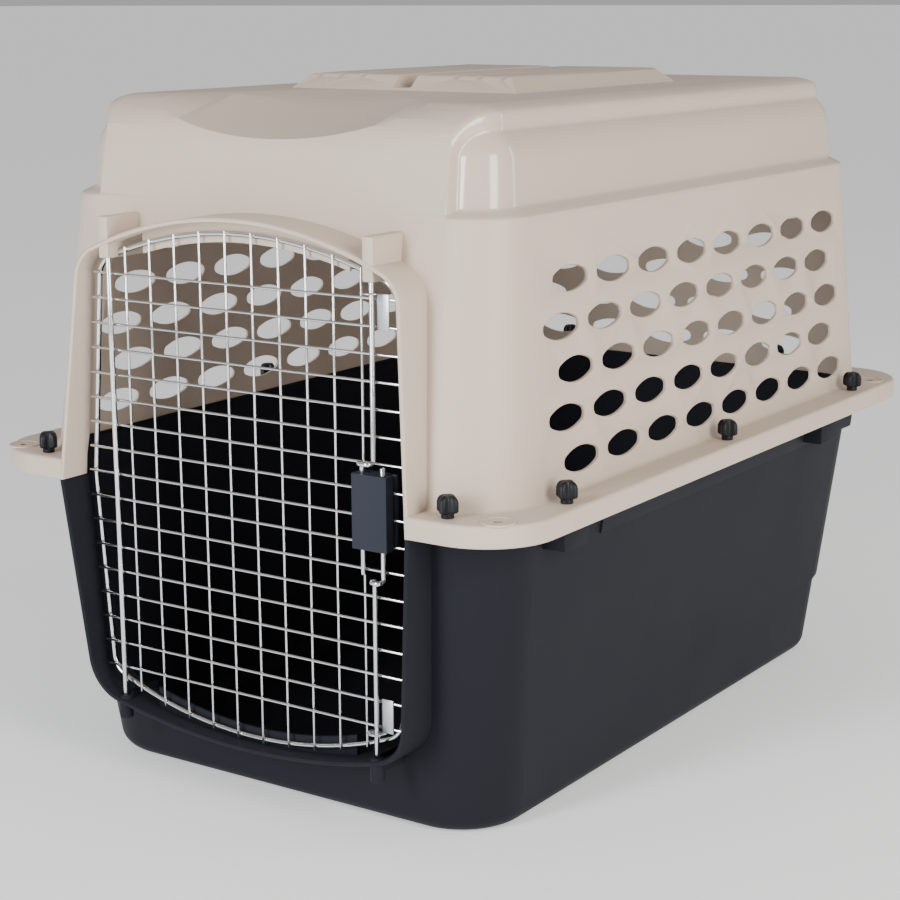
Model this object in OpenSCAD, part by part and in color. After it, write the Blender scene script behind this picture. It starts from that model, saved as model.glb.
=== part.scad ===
// Pet transport carrier: two moulded shells clamped at a flange, and a wire door with a squeeze latch.
// Millimetres, +Z up, origin at the middle of the floor footprint, door towards -Y.

/* [Shells] */
// Length of the flange that joins the two shells
flange_l = 914; // [800:1:1100]
// Width of that flange
flange_w = 648; // [580:1:780]
// Height of the seam, measured at the lower edge of the upper skirt
split_z = 311; // [270:1:370]
// Height of the roof above the floor
roof_z = 690; // [620:1:820]
// Thickness of the moulded walls
wall = 3.5; // [3:0.5:5]
// Thickness of each flange plate
flange_t = 4; // [3:0.5:5]
// Height of the skirt that hangs round the upper flange
skirt_h = 25; // [20:1:32]
// Width of the ledge between the skirt and the side wall
ledge_w = 37; // [34:1:48]
// Inward lean of the side walls, as a slope
side_lean = 0.085; // [0.06:0.005:0.1]
// Inward lean of the front wall, as a slope
front_lean = 0.14; // [0.1:0.01:0.16]
// Inward lean of the rear wall, as a slope
rear_lean = 0.085; // [0.06:0.005:0.1]
// Plan radius of the flange corners
flange_r = 71; // [60:1:90]

/* [Vents] */
// Length of one oval vent
vent_l = 63.5; // [50:0.5:68]
// Height of one oval vent
vent_h = 24.2; // [18:0.2:28]
// Distance between vents along a row
vent_pitch = 80.9; // [76:0.1:90]
// Distance between rows of vents
vent_row = 42.4; // [38:0.1:48]
// Sideways step of every second row
vent_step = 21.6; // [10:0.1:30]
// Vents in a side row
side_vents = 8; // [5:1:8]
// Vents in a rear row
rear_vents = 5; // [3:1:5]
// Rows of vents
vent_rows = 5; // [3:1:5]

/* [Door] */
// Width of the door at the seam
door_w = 395; // [350:1:420]
// Height of the door from arch to arch
door_h = 498; // [450:1:520]
// Diameter of the door's outer rod
frame_d = 5.4; // [4.5:0.1:6]
// Diameter of the mesh wires
mesh_d = 2.6; // [2:0.1:3]
// Diameter of the hinge rod
hinge_d = 5.5; // [4.5:0.1:6]
// Diameter of the two latch rods
latch_d = 4.8; // [4:0.1:5]
// Distance between upright wires
mesh_px = 31.87; // [28:0.01:34]
// Distance between level wires
mesh_pz = 25.33; // [22:0.01:28]
// Upright wires
upright_n = 10; // [8:1:10]
// Level wires
level_n = 17; // [15:1:17]
// Distance of the hinge rod and of the latch rods in from the sides of the door
rod_in = 37.5; // [34:0.5:42]

/* [Latch] */
// Width of the latch housing
latch_w = 40; // [38:1:46]
// Height of the latch housing
latch_h = 71; // [64:1:80]

/* [Fasteners] */
// Diameter of the shell bolts
bolt_d = 6; // [5:0.5:8]
// Width of a hand nut across its lobes
nut_w = 21; // [18:0.5:22]
// Height of a hand nut
nut_h = 25; // [20:0.5:30]
// Diameter of the tie holes in the flange corners
tie_d = 9; // [6:0.5:11]

/* [Hidden] */
$fn = 64;
HULL_FN = 32;
EPS = 0.01;
FIT = 0.08;
GAP = 0.5;
WELD = 0.4;

// Levels of the shells
seam_top = split_z + skirt_h;
plate_z = seam_top - flange_t;
lower_plate_z = plate_z - flange_t;
roof_drop = 40;
half_l = flange_l / 2;
half_w = flange_w / 2;
side_x = half_w - ledge_w;
front_y = half_l - 32;
rear_y = half_l - ledge_w;
wall_r = 74;

// Lower shell
lower_side = side_x - wall + 0.5;
lower_front = front_y - wall;
lower_rear = rear_y - wall;
foot_z = 16;
foot_in = 15;
base_lean = 0.112;

// Door hood
hood_y = half_l;
hood_side = 17.5;
hood_w = door_w / 2 + hood_side;
hood_lean = 0.085;
hood_tilt = 0.072;
hood_t = 4.5;
hood_top = roof_z - 106 - split_z;
hood_top_r = 435;
hood_top_c = 36;
hood_low = split_z - 60;
hood_low_r = 690;
hood_low_c = 45;
hood_back = 70;

// Door stops
door_y = front_y - 3.6;
stop_y = door_y - frame_d / 2 - 0.4;
stop_half = 126;
stop_drop = 9;

// Door rod outline, measured from the seam
rod_lean = 0.078;
rod_arc = 450;
rod_corner = 24;
// The corner bends are a touch thinner and run on into the rod at both ends
bend_r = frame_d / 2 * 0.94;
lower_side_r = frame_d / 2 * 0.98;
bend_lap = 3;
rod_half = door_w / 2;
rod_x = rod_half - rod_in;
rod_up = door_h * 0.516;
rod_down = door_h - rod_up;
upright_y = door_y + frame_d / 2 + mesh_d / 2 - WELD;
level_y = upright_y + mesh_d - WELD;
mesh_front = level_y + mesh_d / 2;
hinge_y = mesh_front + hinge_d / 2 - WELD / 4;
latch_y = mesh_front + latch_d / 2 + 1.3;
level_top = split_z + 209.2;
wire_over = 3;

// Sockets for the rods
tower_w = 12;
tower_h = 41;
tower_z = split_z + hood_top - 7;
tower_back = 42;
post_d = 14;
post_h = 22;
post_lap = 8;
post_z = split_z - hood_low + 2;
post_back = 32;
socket_end = 4;
socket_run = 100;
tip_gap = 3;

// Latch housing
latch_x = rod_x - 1;
latch_z = split_z + 13;
cover_t = 1.8;
cover_front = latch_y + 7.6;
cover_back = mesh_front + 0.3;
backer_front = upright_y - mesh_d / 2 - 0.1;
backer_t = 4;
crank_rise = 10;
crank_out = 7.5;
upper_prong = rod_x - 13;
lower_prong = rod_x + 10;
prong_tail = 26;
spring_r = 3.05;
spring_wire = 0.6;
spring_turns = 7;
spring_len = 22;
seat_gap = 0.2;
clip_t = 1.2;
clip_r = 3.4;
screw_r = 1.6;
screw_z = 11.5;
screw_lap = 0.5;

// Rod guides
guide_w = 13;
guide_h = 33;
guide_t = 1.2;
guide_ring = 9.5;
guide_in = 4;
upper_guide_z = level_top + 5;
lower_guide_z = level_top - (level_n - 1) * mesh_pz - 4;

// Bolts and nuts
bolt_r = bolt_d / 2;
nut_ring = bolt_r + FIT;
bolt_up = 16;
bolt_side = 31;
bolt_head_r = bolt_r + 3;
bolt_head_t = 3;
bolt_pad_w = 24;
bolt_pad_t = 5;
side_bolt_x = half_w - 17;
side_bolt_y = [-335, -10, 313] * flange_l / 914;
end_bolt_x = [hood_w + bolt_side, 150];
end_bolt_y = half_l - 18;
front_tie = [half_w - 32, -half_l + 29];
rear_tie = [half_w - 24, half_l - 76];
tie_pad_r = 13;
tie_pad_t = 1.5;

// Roof platform
pad_l = 300;
pad_w = 252;
pad_h = 15.5;
pad_slope = 20;
pad_y = 5;
slot_w = 16;
slot_floor = 3;
// Dish in the front edge of the roof: a leaning cylinder between two side walls
dish_r = 554;
dish_low = roof_z - 37;
dish_y = front_y - 44;
dish_slope = 16;
dish_half = 158;
shoulder_z = split_z + 279;
shoulder_h = 92;
shoulder_in = 13;
shoulder_l = 700;

// ---------- shared shapes ----------

// Rounded rectangle with different reaches to the front and the rear
module plan(hx, yf, yr, r) {
    union() {
        translate([-hx + r, -yf]) square([2 * (hx - r), yf + yr]);
        translate([-hx, -yf + r]) square([2 * hx, yf + yr - 2 * r]);
        for (x = [-hx + r, hx - r], y = [-yf + r, yr - r]) translate([x, y]) circle(r);
    }
}

// One level of a moulded body, as four thin corner discs for a hull
module level(z, hx, yf, yr, r) {
    for (x = [-hx + r, hx - r], y = [-yf + r, yr - r])
        translate([x, y, z]) cylinder(r = r, h = EPS, $fn = HULL_FN);
}

// One level of the upper body, less an inset
module upper_level(z, inset) {
    rise = z - seam_top;
    level(z, side_x - side_lean * rise - inset, front_y - front_lean * rise - inset,
        rear_y - rear_lean * rise - inset, wall_r - 0.07 * rise - inset);
}

// Moulded body of the upper shell, from its seam to the rounded roof edge
module upper_body(inset, low) {
    top = roof_z - inset;
    hull() {
        upper_level(low, inset);
        upper_level(top - roof_drop, inset);
        for (a = [30, 60, 90])
            upper_level(top - roof_drop * (1 - sin(a)), inset + roof_drop * (1 - cos(a)));
    }
}

// One level of the lower body, less an inset
module lower_level(z, inset) {
    fall = lower_plate_z - z;
    level(z, lower_side - base_lean * fall - inset, lower_front - base_lean * fall - inset,
        lower_rear - base_lean * fall * 0.7 - inset, wall_r - 4 - inset);
}

// Moulded body of the lower shell, from its rounded foot to its rim
module lower_body(inset, bottom, high) {
    hull() {
        lower_level(high - EPS, inset);
        lower_level(bottom + foot_z, inset);
        lower_level(bottom + foot_z * 0.3, inset + foot_in * 0.25);
        lower_level(bottom, inset + foot_in);
    }
}

// Centre of the corner arc that joins a leaning side to a top arch
function corner_centre(w, lean, arch_r, height, c) =
    let (a = w - c * sqrt(1 + lean * lean),
        k = height - arch_r,
        qa = 1 + lean * lean,
        qb = -2 * (a * lean + k),
        qc = a * a + k * k - (arch_r - c) * (arch_r - c),
        u = (-qb + sqrt(qb * qb - 4 * qa * qc)) / (2 * qa))
    [a - lean * u, u];

// Half outline of the arched hood: leaning side, corner arc and top arch
function arch_half(w, lean, arch_r, height, c) =
    let (p = corner_centre(w, lean, arch_r, height, c),
        a0 = atan(lean),
        a1 = atan2(p[1] - (height - arch_r), p[0]),
        n = 8)
    concat([[w, 0]],
        [for (i = [0 : n]) let (a = a0 + (a1 - a0) * i / n) [p[0] + c * cos(a), p[1] + c * sin(a)]],
        [for (i = [1 : n - 1]) let (a = a1 + (90 - a1) * i / n)
            [arch_r * cos(a), height - arch_r + arch_r * sin(a)]]);

function mirrored(p) = concat(p, [[0, max([for (q = p) q[1]])]],
    [for (i = [len(p) - 1 : -1 : 0]) [-p[i][0], p[i][1]]]);

// Arched prism standing on the seam (up = 1) or hanging from it (up = -1)
module arch(up, inset, y0, y1) {
    w = hood_w - inset;
    h = (up > 0 ? hood_top : hood_low) - inset;
    r = (up > 0 ? hood_top_r : hood_low_r) - inset;
    c = (up > 0 ? hood_top_c : hood_low_c) - inset;
    translate([0, y1, split_z]) mirror([0, 0, up > 0 ? 0 : 1])
        rotate([90, 0, 0]) linear_extrude(y1 - y0)
            polygon(mirrored(arch_half(w, hood_lean, r, h, c)));
}

// Keeps what lies behind the tilted front plane of the hood
module hood_trim(up) {
    translate([0, -hood_y, split_z]) mirror([0, 0, up > 0 ? 0 : 1])
        rotate([-atan(hood_tilt), 0, 0]) translate([-half_w, -60, -20]) cube([flange_w, 60, 340]);
}

// Flat oval made from two long arcs and two end arcs
module oval(l, h) {
    a = l / 2;
    b = h / 2;
    r1 = b * 0.54;
    r2 = ((a - r1) * (a - r1) + b * b - r1 * r1) / (2 * (b - r1));
    xt = (a - r1) * r2 / (r2 - r1);
    for (s = [-1, 1]) translate([s * (a - r1), 0]) circle(r1);
    intersection() {
        translate([0, b - r2]) circle(r2, $fn = 180);
        translate([0, r2 - b]) circle(r2, $fn = 180);
        square([2 * xt, h], center = true);
    }
}

// Staggered field of ovals, drawn flat with its first row at the top
module vent_field(count, shift) {
    for (k = [0 : vent_rows - 1], i = [0 : count - 1])
        translate([(i - (count - 1) / 2) * vent_pitch + shift * (k % 2 == 0 ? 1 : -1) * vent_step / 2,
            split_z + 218 - k * vent_row]) oval(vent_l, vent_h);
}

// Straight round bar between two points, run on past its far end by more
module bar(a, b, r, more = 0) {
    v = b - a;
    l = norm(v);
    translate(a) rotate([0, acos(v[2] / l), atan2(v[1], v[0])]) cylinder(r = r, h = l + more);
}

// Bent rod through a list of points; every second stretch is a touch thinner where two meet
module bent_rod(pts, r) {
    for (i = [0 : len(pts) - 2])
        bar(pts[i], pts[i + 1], r * (i % 2 == 0 ? 1 : 0.97), i < len(pts) - 2 ? r * 0.9 : 0);
}

// Arc of round rod in the plane of the door, from angle a0 to a1 about a centre
module rod_arc_piece(cx, cz, r, a0, a1, rod_r) {
    translate([cx, -door_y, cz]) rotate([90, 0, 0]) rotate([0, 0, a0])
        rotate_extrude(angle = a1 - a0, $fn = 96) translate([r, 0]) circle(rod_r, $fn = 24);
}

// ---------- shells ----------

function bolt_spots() = concat(
    [for (s = [-1, 1], y = side_bolt_y) [s * side_bolt_x, y]],
    [for (s = [-1, 1]) [s * end_bolt_x[0], -end_bolt_y]],
    [for (s = [-1, 1]) [s * end_bolt_x[1], end_bolt_y]]);

function tie_spots() = [for (s = [-1, 1], p = [front_tie, rear_tie]) [s * p[0], p[1]]];

module flange_bores() {
    for (p = bolt_spots()) translate([p[0], p[1], lower_plate_z - 40])
        cylinder(r = bolt_r + FIT, h = 80);
    for (p = tie_spots()) translate([p[0], p[1], lower_plate_z - 40])
        cylinder(d = tie_d, h = 80);
}

// Ledges behind the top or the bottom of the door, which stop it closing too far
module door_stop(up) {
    edge_h = (up > 0 ? rod_up : rod_down) - stop_drop;
    intersection() {
        difference() {
            arch(up, hood_t - EPS, -stop_y, -stop_y + wall);
            translate([0, -stop_y + 2 * wall, split_z + up * (edge_h - rod_arc)]) rotate([90, 0, 0])
                cylinder(r = rod_arc, h = 3 * wall, $fn = 256);
        }
        translate([-stop_half, -half_l, up > 0 ? split_z + 100 : 0])
            cube([2 * stop_half, flange_l, up > 0 ? roof_z : split_z - 100]);
    }
}

// Tower over the hood that holds the upper end of a door rod
module tower(x) {
    translate([x - tower_w / 2, -latch_y - tower_w / 2, tower_z - tower_h])
        cube([tower_w, latch_y + tower_w / 2 - front_y + tower_back, tower_h]);
}

// Post under the hood that holds the lower end of a door rod, with its web
module post(x) {
    translate([x, -(hinge_y + latch_y) / 2, post_z]) cylinder(d = post_d, h = post_h + post_lap);
    translate([x - wall / 2, -latch_y, post_z + post_lap])
        cube([wall, latch_y - front_y + post_back, post_h]);
}

module rod_bores(z0) {
    translate([-rod_x, -hinge_y, z0]) cylinder(r = hinge_d / 2 + FIT, h = socket_run);
    translate([rod_x, -latch_y, z0]) cylinder(r = latch_d / 2 + FIT, h = socket_run);
}

// Stepped pad on the roof, with sloping edges
module platform() {
    hull() {
        for (k = [0, 1])
            translate([-pad_w / 2 - pad_slope * (1 - k), pad_y - pad_l / 2 - pad_slope * (1 - k),
                roof_z - 1 + k * pad_h])
                cube([pad_w + 2 * pad_slope * (1 - k), pad_l + 2 * pad_slope * (1 - k), 1]);
    }
}

// Hollow in the front edge of the roof; grow moves its surface outwards
module dish(grow) {
    intersection() {
        translate([0, -dish_y, dish_low]) rotate([90 - dish_slope, 0, 0]) translate([0, dish_r, 0])
            cylinder(r = dish_r + grow, h = 2 * half_l, center = true, $fn = 256);
        translate([-dish_half - grow, -half_l, dish_low - 3 * wall])
            cube([2 * (dish_half + grow), half_l, roof_z]);
    }
}

// Block that sets the shoulder of a side wall in
module shoulder(s) {
    z0 = shoulder_z;
    x0 = side_x - side_lean * (z0 - seam_top) - shoulder_in;
    mirror([s < 0 ? 1 : 0, 0, 0]) translate([x0, 0, z0]) rotate([0, -atan(side_lean), 0])
        translate([0, -shoulder_l / 2 + 5, 0]) cube([60, shoulder_l, shoulder_h]);
}

module upper_shell() {
    color("#c4b8ac") difference() {
        union() {
            difference() {
                union() {
                    difference() {
                        upper_body(0, plate_z);
                        shoulder(1);
                        shoulder(-1);
                        dish(0);
                    }
                    translate([0, 0, split_z])
                        linear_extrude(skirt_h) plan(half_w, half_l, half_l, flange_r);
                    platform();
                    for (p = tie_spots()) translate([p[0], p[1], seam_top - EPS])
                        cylinder(r = tie_pad_r, h = tie_pad_t + EPS);
                }
                translate([0, 0, split_z - 1]) linear_extrude(skirt_h - flange_t + 1)
                    plan(half_w - wall, half_l - wall, half_l - wall, flange_r - wall);
                difference() {
                    upper_body(wall, plate_z - 1);
                    for (s = [-1, 1]) mirror([s < 0 ? 1 : 0, 0, 0]) shoulder_back();
                    dish(wall);
                }
            }
            difference() {
                arch(1, 0, -half_l - 2, -front_y + 0.5);
                hood_trim(1);
            }
            difference() {
                union() {
                    arch(1, 0, -front_y, -front_y + hood_back);
                    tower(-rod_x);
                    tower(rod_x);
                }
                upper_body(wall, plate_z - 1);
                translate([-half_w, -half_l, 0]) cube([flange_w, flange_l, seam_top]);
            }
        }
        arch(1, hood_t, -half_l - 3, -front_y + hood_back + 10);
        translate([-hood_w + hood_t, -half_l - 3, split_z - 2])
            cube([2 * (hood_w - hood_t), half_l - front_y + 40, 3]);
        vent_cuts();
        flange_bores();
        rod_bores(tower_z - socket_end - socket_run);
        translate([-slot_w / 2, pad_y - pad_l, roof_z + slot_floor]) cube([slot_w, 2 * pad_l, pad_h]);
    }
    color("#c4b8ac") door_stop(1);
}

// Thickening behind each shoulder recess, so that the wall keeps its thickness
module shoulder_back() {
    x0 = side_x - side_lean * (shoulder_z - seam_top) - shoulder_in - wall;
    translate([x0, -shoulder_l / 2 + 5 - wall, shoulder_z - wall]) rotate([0, -atan(side_lean), 0])
        cube([60, shoulder_l + 2 * wall, shoulder_h + wall]);
}

module vent_cuts() {
    for (s = [-1, 1])
        translate([s > 0 ? side_x - 80 : -side_x - 20, s * 2.5, 0])
            rotate([90, 0, 90]) linear_extrude(100) vent_field(side_vents, s);
    translate([0, rear_y + 20, 0]) rotate([90, 0, 0]) linear_extrude(100) vent_field(rear_vents, 1);
}

module lower_shell() {
    color("#33343a") difference() {
        union() {
            difference() {
                union() {
                    lower_body(0, 0, plate_z);
                    translate([0, 0, lower_plate_z]) linear_extrude(flange_t)
                        plan(half_w - wall - GAP, half_l - wall - GAP, half_l - wall - GAP,
                            flange_r - wall - GAP);
                    for (p = bolt_spots()) bolt_pad(p);
                }
                lower_body(wall, wall, plate_z + 1);
                arch(1, -GAP, -half_l - 3, -front_y + 0.5 + GAP);
                translate([-hood_w - GAP, -half_l - 3, split_z - GAP])
                    cube([2 * (hood_w + GAP), half_l - front_y + 3, 60]);
            }
            difference() {
                union() {
                    difference() {
                        arch(-1, 0, -half_l - 2, -front_y + hood_back);
                        hood_trim(-1);
                        translate([-half_w, -half_l - 3, split_z - GAP]) cube([flange_w, flange_l, 9]);
                    }
                    post(-rod_x);
                    post(rod_x);
                }
                lower_body(wall, wall, plate_z + 1);
            }
        }
        arch(-1, hood_t, -half_l - 3, -front_y + hood_back + 10);
        translate([-hood_w + hood_t, -half_l - 3, split_z - 2])
            cube([2 * (hood_w - hood_t), half_l - front_y + 45, skirt_h + 6]);
        flange_bores();
        rod_bores(post_z + socket_end);
    }
    color("#33343a") door_stop(-1);
}

// Square boss under the lower flange that takes a bolt head
module bolt_pad(p) {
    translate([p[0] - bolt_pad_w / 2, p[1] - bolt_pad_w / 2, lower_plate_z - bolt_pad_t])
        cube([bolt_pad_w, bolt_pad_w, bolt_pad_t + EPS]);
}

// ---------- fasteners ----------

module shell_bolts() {
    color("#9a9ca0") for (p = bolt_spots()) translate([p[0], p[1], 0]) {
        translate([0, 0, lower_plate_z - bolt_pad_t - bolt_head_t])
            cylinder(r = bolt_head_r, h = bolt_head_t);
        translate([0, 0, lower_plate_z - bolt_pad_t - EPS])
            cylinder(r = bolt_r, h = bolt_pad_t + 2 * flange_t + bolt_up);
    }
}

// Hand nut with four lobes
module hand_nut(x, y) {
    color("#26272b") translate([x, y, seam_top + GAP / 2]) difference() {
        union() {
            cylinder(r = nut_w * 0.28, h = nut_h * 0.25);
            translate([0, 0, nut_h * 0.25 - EPS]) cylinder(r = nut_w * 0.36, h = nut_h * 0.75 - 2);
            translate([0, 0, nut_h - 2 - EPS]) cylinder(r1 = nut_w * 0.36, r2 = nut_w * 0.26, h = 2);
            for (a = [45 : 90 : 315]) rotate([0, 0, a]) translate([nut_w / 2 - 2.6, 0, nut_h * 0.3])
                cylinder(r = 2.6, h = nut_h * 0.55);
        }
        translate([0, 0, -1]) cylinder(r = nut_ring, h = bolt_up + 3);
    }
}

// ---------- door ----------

module door_frame_rod() {
    color("#c9ccd0") {
        for (up = [1, -1]) {
            h = up > 0 ? rod_up : rod_down;
            p = corner_centre(rod_half, rod_lean, rod_arc, h, rod_corner);
            a0 = atan(rod_lean);
            a1 = atan2(p[1] - (h - rod_arc), p[0]);
            translate([0, 0, split_z]) mirror([0, 0, up > 0 ? 0 : 1]) {
                rod_arc_piece(0, h - rod_arc, rod_arc, a1, 180 - a1, frame_d / 2);
                for (s = [0, 1]) mirror([s, 0, 0]) {
                    rod_arc_piece(p[0], p[1], rod_corner, a0 - bend_lap, a1 + bend_lap, bend_r);
                    bar([rod_half, -door_y, up > 0 ? -frame_d / 2 : 0],
                        [p[0] + rod_corner * cos(a0), -door_y, p[1] + rod_corner * sin(a0)],
                        up > 0 ? frame_d / 2 : lower_side_r);
                }
            }
        }
    }
}

// Height of the door rod above or below the seam at a sideways place
function rod_z(x, up) = (up > 0 ? rod_up : rod_down) - rod_arc + sqrt(rod_arc * rod_arc - x * x);

module door_upright_wires() {
    color("#c9ccd0") for (i = [0 : upright_n - 1]) {
        x = (i - (upright_n - 1) / 2) * mesh_px;
        bar([x, -upright_y, split_z - rod_z(x, -1) - wire_over],
            [x, -upright_y, split_z + rod_z(x, 1) + wire_over], mesh_d / 2);
    }
}

module door_level_wires() {
    color("#c9ccd0") for (i = [0 : level_n - 1]) {
        z = level_top - i * mesh_pz;
        x = rod_half - rod_lean * abs(z - split_z) + wire_over;
        bar([-x, -level_y, z], [x, -level_y, z], mesh_d / 2);
    }
}

module hinge_rod() {
    low = post_z + socket_end + GAP;
    high = tower_z - socket_end - GAP;
    color("#c9ccd0") bar([-rod_x, -hinge_y, low], [-rod_x, -hinge_y, high], hinge_d / 2);
}

// Bent sheet guide with a ring round a latch rod; up = 1 has the ring on top
module rod_guide(z, up) {
    color("#b8bbc0") translate([0, 0, z]) mirror([0, 0, up > 0 ? 0 : 1]) difference() {
        union() {
            translate([rod_x + guide_in, -mesh_front - guide_t, -guide_h])
                cube([guide_w, guide_t, guide_h]);
            translate([rod_x, -latch_y, 0]) cylinder(r = guide_ring, h = guide_t);
            translate([rod_x, -mesh_front - 3 * guide_t, 0])
                cube([guide_w + guide_in, 3 * guide_t, guide_t]);
        }
        translate([rod_x, -latch_y, -guide_t]) cylinder(r = latch_d / 2 + FIT, h = 3 * guide_t);
        translate([0, -mesh_front, -guide_h]) cube([flange_w, guide_w, 2 * guide_h]);
    }
}

module latch_notches() {
    for (x = [upper_prong, lower_prong]) {
        translate([x, -latch_y, latch_z - latch_h]) cylinder(r = latch_d / 2 + FIT, h = 2 * latch_h);
        translate([x - latch_d / 2 - FIT, -latch_y, latch_z - latch_h])
            cube([latch_d + 2 * FIT, 20, 2 * latch_h]);
    }
}

module latch_cover() {
    d = cover_front - cover_back;
    color("#34383f") difference() {
        translate([latch_x - latch_w / 2, -cover_front, latch_z - latch_h / 2])
            cube([latch_w, d, latch_h]);
        translate([latch_x - latch_w / 2 + cover_t, -cover_front + cover_t, latch_z - latch_h / 2 + cover_t])
            cube([latch_w - 2 * cover_t, d, latch_h - 2 * cover_t]);
        latch_notches();
    }
    color("#34383f") for (s = [-1, 1]) difference() {
        translate([latch_x, -cover_back, latch_z + s * screw_z]) rotate([90, 0, 0])
            cylinder(r = screw_r + 1.6, h = d - cover_t + EPS);
        translate([latch_x, -cover_back + 1, latch_z + s * screw_z]) rotate([90, 0, 0])
            cylinder(r = screw_r, h = d - cover_t - 1);
    }
}

module latch_backer() {
    color("#34383f") difference() {
        translate([latch_x - latch_w / 2, -backer_front, latch_z - latch_h / 2])
            cube([latch_w, backer_t, latch_h]);
        for (s = [-1, 1]) translate([latch_x, -backer_front + 2 * backer_t, latch_z + s * screw_z])
            rotate([90, 0, 0]) cylinder(r = screw_r + FIT, h = 3 * backer_t);
    }
}

module latch_screws() {
    y0 = -backer_front + backer_t;
    color("#9a9ca0") for (s = [-1, 1]) translate([latch_x, y0, latch_z + s * screw_z]) {
        translate([0, screw_lap, 0]) rotate([90, 0, 0])
            cylinder(r = screw_r, h = y0 + cover_front - cover_t - 2);
        rotate([-90, 0, 0]) cylinder(r = screw_r + 1.4, h = 1.6);
    }
}

// ---------- latch rods ----------

upper_crank = latch_z + latch_h / 2 + crank_rise;
lower_crank = latch_z - latch_h / 2 - crank_rise - 20;

// Height of the hood's inner face above or below the seam, where the latch rods meet it
function hood_inside(h, r) = h - r + sqrt((r - hood_t) * (r - hood_t) - rod_x * rod_x);

upper_tip = split_z + hood_inside(hood_top, hood_top_r) - tip_gap;
lower_tip = split_z - hood_inside(hood_low, hood_low_r) + tip_gap;

module upper_latch_rod() {
    color("#c9ccd0") bent_rod([[rod_x, -latch_y, upper_tip], [rod_x, -latch_y, upper_crank],
        [rod_x, -latch_y - crank_out, upper_crank], [upper_prong, -latch_y - crank_out, upper_crank],
        [upper_prong, -latch_y, upper_crank],
        [upper_prong, -latch_y, latch_z - latch_h / 2 - prong_tail]], latch_d / 2);
}

module lower_latch_rod() {
    color("#c9ccd0") bent_rod([[rod_x, -latch_y, lower_tip], [rod_x, -latch_y, lower_crank],
        [rod_x, -latch_y - crank_out, lower_crank], [lower_prong, -latch_y - crank_out, lower_crank],
        [lower_prong, -latch_y, lower_crank],
        [lower_prong, -latch_y, latch_z + latch_h / 2 + 7]], latch_d / 2);
}

module spring_clip(x, z) {
    color("#8b8e93") translate([x, -latch_y, z]) difference() {
        cylinder(r = clip_r, h = clip_t);
        translate([0, 0, -1]) cylinder(r = latch_d / 2, h = clip_t + 2);
    }
}

upper_seat = latch_z - latch_h / 2 + cover_t;
lower_seat = latch_z + latch_h / 2 - cover_t;

module upper_spring_clip() { spring_clip(upper_prong, upper_seat + spring_len); }

module lower_spring_clip() { spring_clip(lower_prong, lower_seat - spring_len - clip_t); }

// Coil as one swept tube, with its ends closed
module coil(x, z) {
    sides = 6;
    steps = 12 * spring_turns;
    rise = spring_len - spring_wire - 2 * seat_gap;
    ring = [for (i = [0 : steps], j = [0 : sides - 1])
        let (a = 360 * i / 12,
            b = 360 * j / sides,
            r = spring_r + spring_wire / 2 * cos(b))
        [r * cos(a), r * sin(a),
            seat_gap + spring_wire / 2 + rise * i / steps + spring_wire / 2 * sin(b)]];
    faces = concat([[for (j = [0 : sides - 1]) j]],
        [for (i = [0 : steps - 1], j = [0 : sides - 1])
            let (k = (j + 1) % sides)
            [i * sides + j, (i + 1) * sides + j, (i + 1) * sides + k, i * sides + k]],
        [[for (j = [sides - 1 : -1 : 0]) steps * sides + j]]);
    color("#a5a8ad") translate([x, -latch_y, z]) polyhedron(ring, faces, convexity = 10);
}

module upper_latch_spring() { coil(upper_prong, upper_seat); }

module lower_latch_spring() { coil(lower_prong, lower_seat - spring_len); }

upper_shell();
lower_shell();
shell_bolts();
hand_nut(-end_bolt_x[0], -end_bolt_y);  // nut_front_left
hand_nut(end_bolt_x[0], -end_bolt_y);  // nut_front_right
hand_nut(side_bolt_x, side_bolt_y[0]);  // nut_right_front
hand_nut(side_bolt_x, side_bolt_y[1]);  // nut_right_middle
hand_nut(side_bolt_x, side_bolt_y[2]);  // nut_right_rear
hand_nut(-side_bolt_x, side_bolt_y[0]);  // nut_left_front
hand_nut(-side_bolt_x, side_bolt_y[1]);  // nut_left_middle
hand_nut(-side_bolt_x, side_bolt_y[2]);  // nut_left_rear
hand_nut(-end_bolt_x[1], end_bolt_y);  // nut_rear_left
hand_nut(end_bolt_x[1], end_bolt_y);  // nut_rear_right
door_frame_rod();
door_upright_wires();
door_level_wires();
hinge_rod();
rod_guide(upper_guide_z, 1);  // upper_rod_guide
rod_guide(lower_guide_z, -1);  // lower_rod_guide
latch_cover();
latch_backer();
latch_screws();
upper_latch_rod();
lower_latch_rod();
upper_spring_clip();
lower_spring_clip();
upper_latch_spring();
lower_latch_spring();
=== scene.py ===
import math

import bmesh
import bpy
from mathutils import Matrix, Vector


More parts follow.
